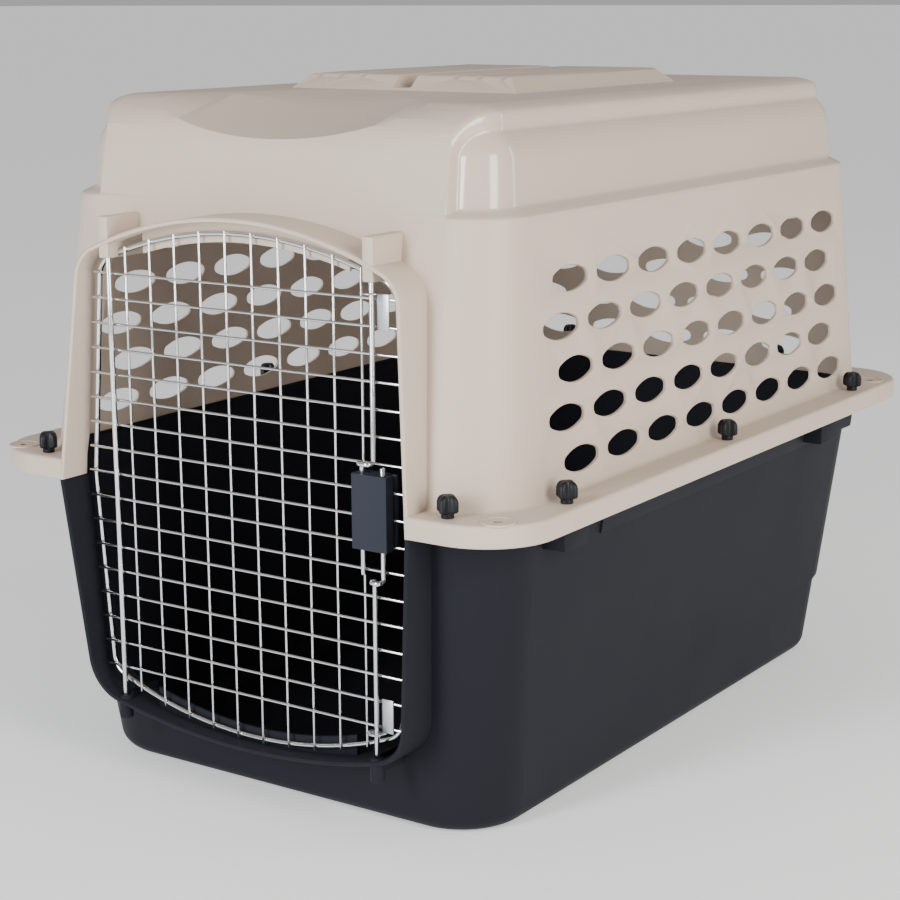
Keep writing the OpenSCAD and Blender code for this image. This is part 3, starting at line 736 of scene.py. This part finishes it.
def door_stop(name, kind, up, rod_height):
    """Ledge behind the top or the bottom of the door."""
    n = 24
    y0 = ROD_Y + ROD_R + 0.4 * MM
    outer, inner = [], []
    hood_r = kind["arch"] - HOOD_T / 2
    for i in range(n + 1):
        x = STOP_HALF - 2 * STOP_HALF * i / n
        outer.append((x, kind["height"] - HOOD_T / 2 - hood_r + math.sqrt(hood_r ** 2 - x * x)))
        inner.append((x, rod_height - STOP_DROP - ROD_ARCH + math.sqrt(ROD_ARCH ** 2 - x * x)))
    loop = outer + list(reversed(inner))
    obj = ring_object(name, [[(x, y, SEAM + up * h) for x, h in loop] for y in (y0, y0 + WALL)])
    activate(obj)
    mod = obj.modifiers.new("soften", "BEVEL")
    mod.width = 0.8 * MM
    mod.segments = 2
    mod.limit_method = "ANGLE"
    mod.angle_limit = math.radians(50)
    bpy.ops.object.modifier_apply(modifier=mod.name)
    return obj


def socket_tower(name, x):
    """Block over the hood that runs back into the wall above the upper end of a door rod."""
    top = SEAM + HOOD_UP["height"] - 7 * MM
    return box(name, (x - TOWER_HALF, LATCH_Y - TOWER_HALF, top - TOWER_H), (x + TOWER_HALF, WALL_IN, top),
               1.6 * MM, 3)


def roof_platform(name):
    """Raised pad on the roof with sloping edges, a long slot and finger notches."""
    obj = box(name, (-PAD_HALF, PAD_ENDS[0], ROOF - 4 * MM), (PAD_HALF, PAD_ENDS[1], PAD_TOP))
    activate(obj)
    bpy.ops.object.mode_set(mode="EDIT")
    bm = bmesh.from_edit_mesh(obj.data)
    for v in bm.verts:
        if v.co.z > ROOF:
            v.co.x *= 1 - PAD_SLOPE / PAD_HALF
            v.co.y += PAD_SLOPE if v.co.y < 0 else -PAD_SLOPE
    for e in bm.edges:
        e.select = abs(e.verts[0].co.z - e.verts[1].co.z) > 1 * MM
    bm.select_flush_mode()
    bmesh.update_edit_mesh(obj.data)
    bpy.ops.mesh.bevel(offset=9 * MM, segments=5)
    bpy.ops.mesh.select_all(action="DESELECT")
    bm = bmesh.from_edit_mesh(obj.data)
    for e in bm.edges:
        e.select = all(v.co.z > PAD_TOP - 0.1 * MM for v in e.verts)
    bm.select_flush_mode()
    bmesh.update_edit_mesh(obj.data)
    bpy.ops.mesh.bevel(offset=3.5 * MM, segments=4)
    bpy.ops.object.mode_set(mode="OBJECT")
    boolean(obj, box("slot", (-SLOT_HALF, -0.3, ROOF + 2.5 * MM),
                     (SLOT_HALF, 0.3, ROOF + 60 * MM), 1.5 * MM))
    for x in NOTCHES:
        for s in (-1, 1):
            notch = cylinder("notch", NOTCH_R, -15 * MM, 15 * MM, vertices=24)
            notch.data.transform(Matrix.Translation((s * x * MM, -141 * MM, PAD_TOP + 3.2 * MM))
                                 @ Matrix.Rotation(math.radians(90 + 12), 4, "X"))
            boolean(obj, notch)
    return obj


def tie_bore(x, y):
    """Cutter for the hole of a cable tie through the flange."""
    return cylinder("bore", TIE_R, FLANGE_TOP - 12 * MM, FLANGE_TOP + 9 * MM, x, y, vertices=40)


def tie_pad(name, x, y):
    """Raised ring that stiffens a tie hole."""
    pad = cylinder(name, TIE_PAD_R, FLANGE_TOP - 1 * MM, FLANGE_TOP + 1.3 * MM, x, y, 56, 0.7 * MM)
    boolean(pad, tie_bore(x, y))
    boolean(pad, cylinder("dish", TIE_DISH_R, FLANGE_TOP + 0.6 * MM, FLANGE_TOP + 9 * MM, x, y, 56))
    return pad


class CARRIER_OT_upper_shell(bpy.types.Operator):
    """Builds the vented upper shell with its flange, hood, shoulders and roof platform"""

    bl_idname = "carrier.upper_shell"
    bl_label = "Upper shell"

    def execute(self, context):
        s = context.scene.carrier
        wall = s.wall
        fine = [FLANGE_TOP - 2 * MM, 420 * MM, 500 * MM, 570 * MM]
        fine += [584 * MM + i * MM for i in range(22)] + [612 * MM, 626 * MM]
        outer = ring_object("outer", upper_rings(0.0, 64, 6, fine, 60))
        push_shoulder(outer, s.shoulder_depth, LIP_OUT, 0.0)
        coarse = [FLANGE_TOP - 8 * MM, 500 * MM, 570 * MM, 580 * MM, 584 * MM, 588 * MM, 592 * MM, 604 * MM]
        inner = ring_object("inner", upper_rings(wall, 30, 4, coarse, 16))
        push_shoulder(inner, s.shoulder_depth, 0.0, 8 * MM)
        boolean(outer, dish_cutter("dish", 0.0))
        boolean(inner, dish_cutter("dish", wall))
        for row in range(VENT_ROWS):
            boolean(outer, vent_cutters("vents", s.vent_length, s.vent_height, row))
        boolean(outer, inner)
        mouth = mouth_cutter("mouth", HOOD_UP, 1, HOOD_T * 0.55, -0.5, -0.33, 40 * MM)
        ring = flange_ring("ring")
        boolean(ring, copy_object(mouth, "mouth_copy"))
        boolean(outer, mouth)
        for x, y in TIES:
            boolean(ring, tie_bore(x * MM, y * MM))
        parts = [outer, ring, hood_sweep("hood", HOOD_UP, 1, 0.0),
                 door_stop("stop", HOOD_UP, 1, ROD_UP), roof_platform("platform")]
        for x in (-ROD_X, ROD_X):
            parts.append(socket_tower("tower", x))
        for x, y in TIES:
            parts.append(tie_pad("pad", x * MM, y * MM))
        shell = join("upper_shell_moulding", parts)
        shell.data.materials.clear()
        shell.data.materials.append(bpy.data.materials["warm_grey_moulding"])
        shell.data.materials.append(bpy.data.materials["warm_grey_polished"])
        for f in shell.data.polygons:
            c = f.center
            f.material_index = 1 if c.z > SHOULDER_LOW - 5 * MM and shoulder_distance(c) < -1.2 * MM else 0
        hand_over(shell, ["upper_shell"], "shell", "upper_plastic")
        return {"FINISHED"}


# ---------- lower shell ----------

class CARRIER_OT_lower_shell(bpy.types.Operator):
    """Builds the solid lower shell with its rim, hood, posts and rounded foot"""

    bl_idname = "carrier.lower_shell"
    bl_label = "Lower shell"

    def stepped(self, p, inset):
        """Moves a point of the rear wall forwards if it lies below the rear step."""
        x, y, z = p
        if z > STEP_Z - STEP_RISE / 2 + inset:
            return p
        return (x, y - STEP_IN * smooth_step((y - STEP_Y) / STEP_RUN), z)

    def side_band(self, s):
        """Band that stands proud of a side wall, just below the flange."""
        high = BASE_TOP - FLANGE_T
        wall_low = BASE_SIDE - BASE_LEAN * (high - BAND_LOW)
        section = [(wall_low - 1 * MM, BAND_LOW), (wall_low + BAND_OUT - 1 * MM, BAND_LOW + 0.4 * MM),
                   (wall_low + BAND_OUT, BAND_LOW + 2 * MM), (BASE_SIDE + BAND_OUT, high),
                   (BASE_SIDE - 1 * MM, high)]
        return ring_object("band", [[(s * x, y, z) for x, z in section] for y in BAND_ENDS])

    def execute(self, context):
        wall = context.scene.carrier.wall

        def rings(inset, bottom, top, cs, ss, steps):
            out = []
            for i in range(steps + 1):
                a = math.pi / 2 * i / steps
                z = bottom + FOOT_R * (1 - math.sin(a))
                extra = FOOT_R * (1 - math.cos(a))
                out.append([(x, y, z) for x, y in lower_plan(z, inset + extra, cs, ss)])
            out.reverse()
            for z in (STEP_Z - STEP_RISE + inset, STEP_Z + inset, top):
                out.append([(x, y, z) for x, y in lower_plan(z, inset, cs, ss)])
            return [[self.stepped(p, inset) for p in ring] for ring in out]

        body = ring_object("body", rings(0.0, 0.0, BASE_TOP - 1 * MM, 18, 6, 8))
        boolean(body, ring_object("inside", rings(wall, wall, BASE_TOP + 8 * MM, 10, 4, 6)))
        boolean(body, mouth_cutter("mouth", HOOD_DOWN, -1, HOOD_T * 0.55, -0.5, -0.33, 60 * MM))
        plate_z = (BASE_TOP - FLANGE_T, BASE_TOP - 0.2 * MM)
        gap = WALL + 0.8 * MM
        plate = []
        for z, edge in ((plate_z[1], "in"), (plate_z[1], "out"), (plate_z[0], "out"), (plate_z[0], "in")):
            if edge == "out":
                pts = plan(HALF_W - gap, HALF_L - gap, HALF_L - gap, FLANGE_R - gap, 14, 6)
            else:
                pts = lower_plan(z, 1.5 * MM, 14, 6)
            plate.append([(x, y, z) for x, y in pts])
        rim = ring_object("rim", plate, caps=False, loop=True)
        boolean(rim, mouth_cutter("mouth", HOOD_UP, 1, HOOD_T * 0.3, -0.5, -0.33, 60 * MM))
        parts = [body, rim, hood_sweep("hood", HOOD_DOWN, -1, 0.5 * MM),
                 door_stop("stop", HOOD_DOWN, -1, ROD_DOWN)]
        for s in (-1, 1):
            parts.append(self.side_band(s))
            for y0, y1, z0 in BRACKETS:
                x0, x1 = sorted((s * (BASE_SIDE - 8 * MM), s * BRACKET_OUT))
                parts.append(box("bracket", (x0, y0 * MM, z0 * MM),
                                 (x1, y1 * MM, BASE_TOP - 2 * MM), 1.2 * MM))
        low = SEAM - HOOD_DOWN["height"] + 2 * MM
        for x in (-ROD_X, ROD_X):
            rod_y, rod_r = (HINGE_Y, HINGE_R) if x < 0 else (LATCH_Y, LATCH_R)
            post = cylinder("post", POST_R, low, low + POST_H, x, rod_y, 40, 1.2 * MM)
            boolean(post, cylinder("bore", rod_r + BORE_GAP, low + 4 * MM, low + 30 * MM, x, rod_y, 32))
            parts.append(post)
            parts.append(box("web", (x - 2 * MM, rod_y + 6 * MM, low + 7 * MM),
                             (x + 2 * MM, WALL_IN, low + 26 * MM), 0.8 * MM))
        shell = join("lower_shell_moulding", parts)
        hand_over(shell, ["lower_shell"], "shell", "lower_plastic", bpy.data.materials["charcoal_moulding"])
        return {"FINISHED"}


# ---------- fasteners ----------

class CARRIER_OT_fasteners(bpy.types.Operator):
    """Builds the lobed hand nuts and the shell bolts"""

    bl_idname = "carrier.fasteners"
    bl_label = "Bolts and hand nuts"

    def hand_nut(self, name, x, y, width):
        """Stem and four-lobed head as one stack of rings: height in mm, then radius and lobe per width."""
        base = FLANGE_TOP + 0.25 * MM
        stack = [(0.0, 0.27, 0.0), (0.3, 0.285, 0.0), (3.6, 0.285, 0.0), (4.6, 0.31, 0.03),
                 (5.4, 0.39, 0.09), (6.8, 0.42, 0.115), (14.5, 0.42, 0.115), (17.4, 0.385, 0.10),
                 (19.6, 0.33, 0.07), (20.8, 0.27, 0.03), (21.2, 0.17, 0.0)]
        rings = []
        n = 64
        for z, r, lobe in stack:
            ring = []
            for k in range(n):
                t = 2 * math.pi * k / n
                wave = math.cos(4 * t)
                wave = math.copysign(abs(wave) ** 0.7, wave)
                rr = (r + lobe * wave) * width
                ring.append((x + rr * math.cos(t), y + rr * math.sin(t), base + z * MM))
            rings.append(ring)
        return ring_object(name, rings)

    def execute(self, context):
        width = context.scene.carrier.nut_width
        for name, (x, y) in BOLTS.items():
            nut = self.hand_nut(name + "_knob", x * MM, y * MM, width)
            hand_over(nut, [name], name, "nut_plastic", bpy.data.materials["black_moulding"])
        bolts = []
        for x, y in BOLTS.values():
            bolts.append(cylinder("head", BOLT_HEAD_R, 320 * MM, 323 * MM, x * MM, y * MM, 6, 0.4 * MM))
            bolts.append(cylinder("shank", BOLT_R, 322 * MM, 351 * MM, x * MM, y * MM, 24, 0.5 * MM))
        bolt = join("flange_bolts", bolts)
        hand_over(bolt, ["shell_bolts"], "shell", "bolt_steel", bpy.data.materials["dull_plating"])
        return {"FINISHED"}


# ---------- door ----------

def rod_height(x, height):
    """Height of the door's outer rod over a place x, for a rod that is this high in the middle."""
    return height - ROD_ARCH + math.sqrt(ROD_ARCH ** 2 - x * x)


class CARRIER_OT_door(bpy.types.Operator):
    """Builds the wire door: outer rod, upright and level wires, and the hinge rod"""

    bl_idname = "carrier.door"
    bl_label = "Wire door"

    def execute(self, context):
        zinc = bpy.data.materials["bright_plating"]
        up = [(x, SEAM + h) for x, h in arch_path(ROD_HALF, ROD_LEAN, ROD_ARCH, ROD_UP, ROD_CORNER)]
        down = [(x, SEAM - h) for x, h in arch_path(ROD_HALF, ROD_LEAN, ROD_ARCH, ROD_DOWN, ROD_CORNER)]
        loop = [(x, ROD_Y, z) for x, z in up + list(reversed(down))[1:-1]]
        rod = rod_object("door_outer_rod", [loop], ROD_R, 20, closed=True)
        hand_over(rod, ["door_frame_rod"], "door", "plated_wire", zinc, smooth=60)

        uprights = []
        for i in range(UPRIGHTS):
            x = (i - (UPRIGHTS - 1) / 2) * MESH_PX
            z0 = SEAM - rod_height(x, ROD_DOWN) - 3 * MM
            z1 = SEAM + rod_height(x, ROD_UP) + 3 * MM
            uprights.append([(x, UPRIGHT_Y, z0 + (z1 - z0) * k / 4) for k in range(5)])
        wires = rod_object("upright_wires", uprights, MESH_R, 14)
        hand_over(wires, ["door_upright_wires"], "door", "plated_wire", zinc, smooth=60)

        levels = []
        for i in range(LEVELS):
            z = LEVEL_TOP - i * MESH_PZ
            x = ROD_HALF - ROD_LEAN * abs(z - SEAM) + 3 * MM
            levels.append([(-x + 2 * x * k / 4, LEVEL_Y, z) for k in range(5)])
        wires = rod_object("level_wires", levels, MESH_R, 14)
        hand_over(wires, ["door_level_wires"], "door", "plated_wire", zinc, smooth=60)

        lo, hi = HINGE_BOX
        line = [(-ROD_X, HINGE_Y, lo[2] + (hi[2] - lo[2]) * k / 4) for k in range(5)]
        hinge = rod_object("hinge_pin", [line], HINGE_R, 20)
        hand_over(hinge, ["hinge_rod"], "door", "plated_wire", zinc, smooth=60)
        return {"FINISHED"}


# ---------- latch ----------

class CARRIER_OT_latch(bpy.types.Operator):
    """Builds the squeeze latch: housing, back plate, two spring rods and their guides"""

    bl_idname = "carrier.latch"
    bl_label = "Squeeze latch"

    def latch_rod(self, name, rod_box, tip_up, prong_x, crank, node_name, body):
        """Rod with a finger crank: along the door, out, across, back and on into the housing."""
        tip = rod_box[1][2] if tip_up else rod_box[0][2]
        tail = rod_box[0][2] if tip_up else rod_box[1][2]
        path = [(ROD_X, LATCH_Y, tip), (ROD_X, LATCH_Y, crank), (ROD_X, LATCH_Y - CRANK_OUT, crank),
                (prong_x, LATCH_Y - CRANK_OUT, crank), (prong_x, LATCH_Y, crank), (prong_x, LATCH_Y, tail)]
        rod = rod_object(name, [rounded_path(path, CRANK_BEND, 6)], LATCH_R, 18)
        hand_over(rod, [node_name], body, "plated_wire", bpy.data.materials["bright_plating"], smooth=60)

    def guide(self, name, node_name, up):
        """Bent sheet guide with a ring round a latch rod."""
        lo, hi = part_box(node_name)
        t = GUIDE_T
        z = hi[2] - t if up > 0 else lo[2] + t
        ends = sorted((z, z - up * GUIDE_H))
        back = LEVEL_Y - MESH_R
        strap = box("strap", (ROD_X + 4 * MM, back - t, ends[0]), (ROD_X + 17 * MM, back, ends[1]),
                    0.35 * MM, 2)
        z0, z1 = sorted((z, z + up * t))
        ring = cylinder("ring", GUIDE_R, z0, z1, ROD_X, LATCH_Y, 48, 0.3 * MM, 2)
        boolean(ring, box("cut", (ROD_X - 0.03, back, z0 - 1), (ROD_X + 0.03, back + 0.03, z1 + 1)))
        boolean(ring, cylinder("hole", LATCH_R + BORE_GAP, z0 - 0.01, z1 + 0.01, ROD_X, LATCH_Y, 32))
        piece = join(name, [strap, ring])
        hand_over(piece, [node_name], "door", "plated_sheet", bpy.data.materials["dull_plating"])

    def execute(self, context):
        slate = bpy.data.materials["slate_moulding"]
        lo, hi = COVER_BOX
        cover = box("cover", lo, (hi[0], hi[1] + 6 * MM, hi[2]))
        activate(cover)
        bpy.ops.object.mode_set(mode="EDIT")
        bm = bmesh.from_edit_mesh(cover.data)
        for e in bm.edges:
            e.select = abs(e.verts[0].co.y - e.verts[1].co.y) > 1 * MM
        bm.select_flush_mode()
        bmesh.update_edit_mesh(cover.data)
        bpy.ops.mesh.bevel(offset=3.5 * MM, segments=5)
        bpy.ops.mesh.select_all(action="DESELECT")
        bm = bmesh.from_edit_mesh(cover.data)
        for e in bm.edges:
            e.select = all(v.co.y < lo[1] + 0.1 * MM for v in e.verts)
        bm.select_flush_mode()
        bmesh.update_edit_mesh(cover.data)
        bpy.ops.mesh.bevel(offset=1.8 * MM, segments=4)
        bpy.ops.object.mode_set(mode="OBJECT")
        t = LATCH_WALL
        boolean(cover, box("hollow", (lo[0] + t, lo[1] + t, lo[2] + t),
                           (hi[0] - t, hi[1] + 0.02, hi[2] - t)))
        boolean(cover, box("trim", (lo[0] - 0.01, hi[1], lo[2] - 0.01),
                           (hi[0] + 0.01, hi[1] + 0.02, hi[2] + 0.01)))
        for x in (UPPER_PRONG_X, LOWER_PRONG_X):
            hole = cylinder("hole", LATCH_R + 0.35 * MM, lo[2] - 0.01, hi[2] + 0.01, x, LATCH_Y, 32)
            boolean(cover, hole)
        hand_over(cover, ["latch_cover"], "door", "latch_plastic", slate)
        lo, hi = BACKER_BOX
        back = box("latch_back_plate", lo, hi, 0.9 * MM, 3)
        hand_over(back, ["latch_backer"], "door", "latch_plastic", slate)
        self.latch_rod("upper_rod", UPPER_ROD_BOX, True, UPPER_PRONG_X, UPPER_CRANK_Z,
                       "upper_latch_rod", "upper_latch")
        self.latch_rod("lower_rod", LOWER_ROD_BOX, False, LOWER_PRONG_X, LOWER_CRANK_Z,
                       "lower_latch_rod", "lower_latch")
        self.guide("upper_guide", "upper_rod_guide", 1)
        self.guide("lower_guide", "lower_rod_guide", -1)
        for name in ("latch_screws", "upper_spring_clip", "lower_spring_clip", "upper_latch_spring",
                     "lower_latch_spring"):
            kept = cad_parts[name]
            kept.data.materials.clear()
            kept.data.materials.append(bpy.data.materials["dull_plating"])
        return {"FINISHED"}


# ---------- stage ----------

class CARRIER_OT_stage(bpy.types.Operator):
    """Adds the pale floor, the soft studio lights and the camera"""

    bl_idname = "carrier.stage"
    bl_label = "Studio stage"

    def soft_light(self, name, place, target, size, power, colour=(1, 1, 1)):
        data = bpy.data.lights.new(name, "AREA")
        data.shape = "RECTANGLE"
        data.size, data.size_y = size
        data.energy = power
        data.color = colour
        lamp = bpy.data.objects.new(name, data)
        bpy.context.scene.collection.objects.link(lamp)
        lamp.location = place
        lamp.rotation_euler = (Vector(target) - Vector(place)).to_track_quat("-Z", "Y").to_euler()

    def execute(self, context):
        key = context.scene.carrier.key_light
        deselect()
        bpy.ops.mesh.primitive_plane_add(size=240, location=(0, 0, -0.2 * MM))
        floor = bpy.context.object
        floor.name = "floor"
        mat = bpy.data.materials.new("pale_floor")
        mat.use_nodes = True
        shader = mat.node_tree.nodes["Principled BSDF"]
        shader.inputs["Base Color"].default_value = (0.9, 0.9, 0.9, 1)
        shader.inputs["Roughness"].default_value = 0.8
        shader.inputs["Emission Color"].default_value = (1, 1, 1, 1)
        shader.inputs["Emission Strength"].default_value = 0.35
        floor.data.materials.append(mat)

        self.soft_light("key", (-0.45, -3.3, 1.25), (0, 0, 0.4), (0.7, 1.9), key, (0.94, 0.97, 1.0))
        self.soft_light("side", (2.9, -1.2, 1.3), (0, 0, 0.4), (1.0, 1.9), key * 0.84, (1.0, 0.97, 0.93))
        self.soft_light("rear", (2.5, 1.9, 1.4), (0, 0, 0.5), (0.5, 1.8), key * 0.16, (1.0, 0.98, 0.96))

        world = bpy.data.worlds.new("studio")
        world.use_nodes = True
        world.node_tree.nodes["Background"].inputs["Color"].default_value = (1, 1, 1, 1)
        world.node_tree.nodes["Background"].inputs["Strength"].default_value = 0.42
        context.scene.world = world

        camera = bpy.data.objects.new("camera", bpy.data.cameras.new("camera"))
        context.scene.collection.objects.link(camera)
        camera.data.lens = 81.53
        camera.data.sensor_width = 36
        camera.data.clip_end = 500
        yaw, pitch, roll = 0.5962, 0.2201, -0.0046
        look = Vector((-math.sin(yaw) * math.cos(pitch), math.cos(yaw) * math.cos(pitch), -math.sin(pitch)))
        right = Vector((math.cos(yaw), math.sin(yaw), 0))
        up = right.cross(look)
        right, up = (right * math.cos(roll) + up * math.sin(roll),
                     -right * math.sin(roll) + up * math.cos(roll))
        turn = Matrix((right, up, -look)).transposed().to_4x4()
        camera.matrix_world = Matrix.Translation((1.2330, -1.8894, 0.7864)) @ turn
        context.scene.camera = camera
        return {"FINISHED"}


class CARRIER_OT_materials(bpy.types.Operator):
    """Makes the plastics and the plated metals of the carrier"""

    bl_idname = "carrier.materials"
    bl_label = "Materials"

    def execute(self, context):
        s = context.scene.carrier
        moulded_plastic("warm_grey_moulding", s.upper_colour, 0.46, 900.0, 0.00025, 0.02, 0.3)
        moulded_plastic("warm_grey_polished", s.upper_colour, 0.14, 500.0, 0.00002, 0.015, 0.6)
        moulded_plastic("charcoal_moulding", s.lower_colour, 0.5, 900.0, 0.0003, 0.04, 0.06)
        moulded_plastic("slate_moulding", s.latch_colour, 0.55, 1400.0, 0.0003, 0.05, 0.15)
        moulded_plastic("black_moulding", s.nut_colour, 0.42, 700.0, 0.0002, 0.05, 0.25)
        plated_metal("bright_plating", s.wire_colour, 0.16, 60.0)
        plated_metal("dull_plating", (0.55, 0.56, 0.58), 0.34, 90.0)
        return {"FINISHED"}


PIECES = (CARRIER_OT_materials, CARRIER_OT_upper_shell, CARRIER_OT_lower_shell, CARRIER_OT_fasteners,
          CARRIER_OT_door, CARRIER_OT_latch, CARRIER_OT_stage)


class CARRIER_PT_panel(bpy.types.Panel):
    """Lists the carrier's settings and the steps that build it"""

    bl_idname = "CARRIER_PT_panel"
    bl_label = "Pet carrier"
    bl_space_type = "VIEW_3D"
    bl_region_type = "UI"
    bl_category = "Carrier"

    def draw(self, context):
        for name in CarrierSettings.__annotations__:
            self.layout.prop(context.scene.carrier, name)
        for piece in PIECES:
            self.layout.operator(piece.bl_idname)


CLASSES = (CarrierSettings, *PIECES, CARRIER_PT_panel)


def register():
    for c in CLASSES:
        bpy.utils.register_class(c)
    bpy.types.Scene.carrier = bpy.props.PointerProperty(type=CarrierSettings)


def unregister():
    del bpy.types.Scene.carrier
    for c in reversed(CLASSES):
        bpy.utils.unregister_class(c)


def main():
    register()
    bpy.ops.carrier.materials()
    bpy.ops.carrier.upper_shell()
    bpy.ops.carrier.lower_shell()
    bpy.ops.carrier.fasteners()
    bpy.ops.carrier.door()
    bpy.ops.carrier.latch()
    bpy.ops.carrier.stage()


if __name__ == "__main__":
    main()
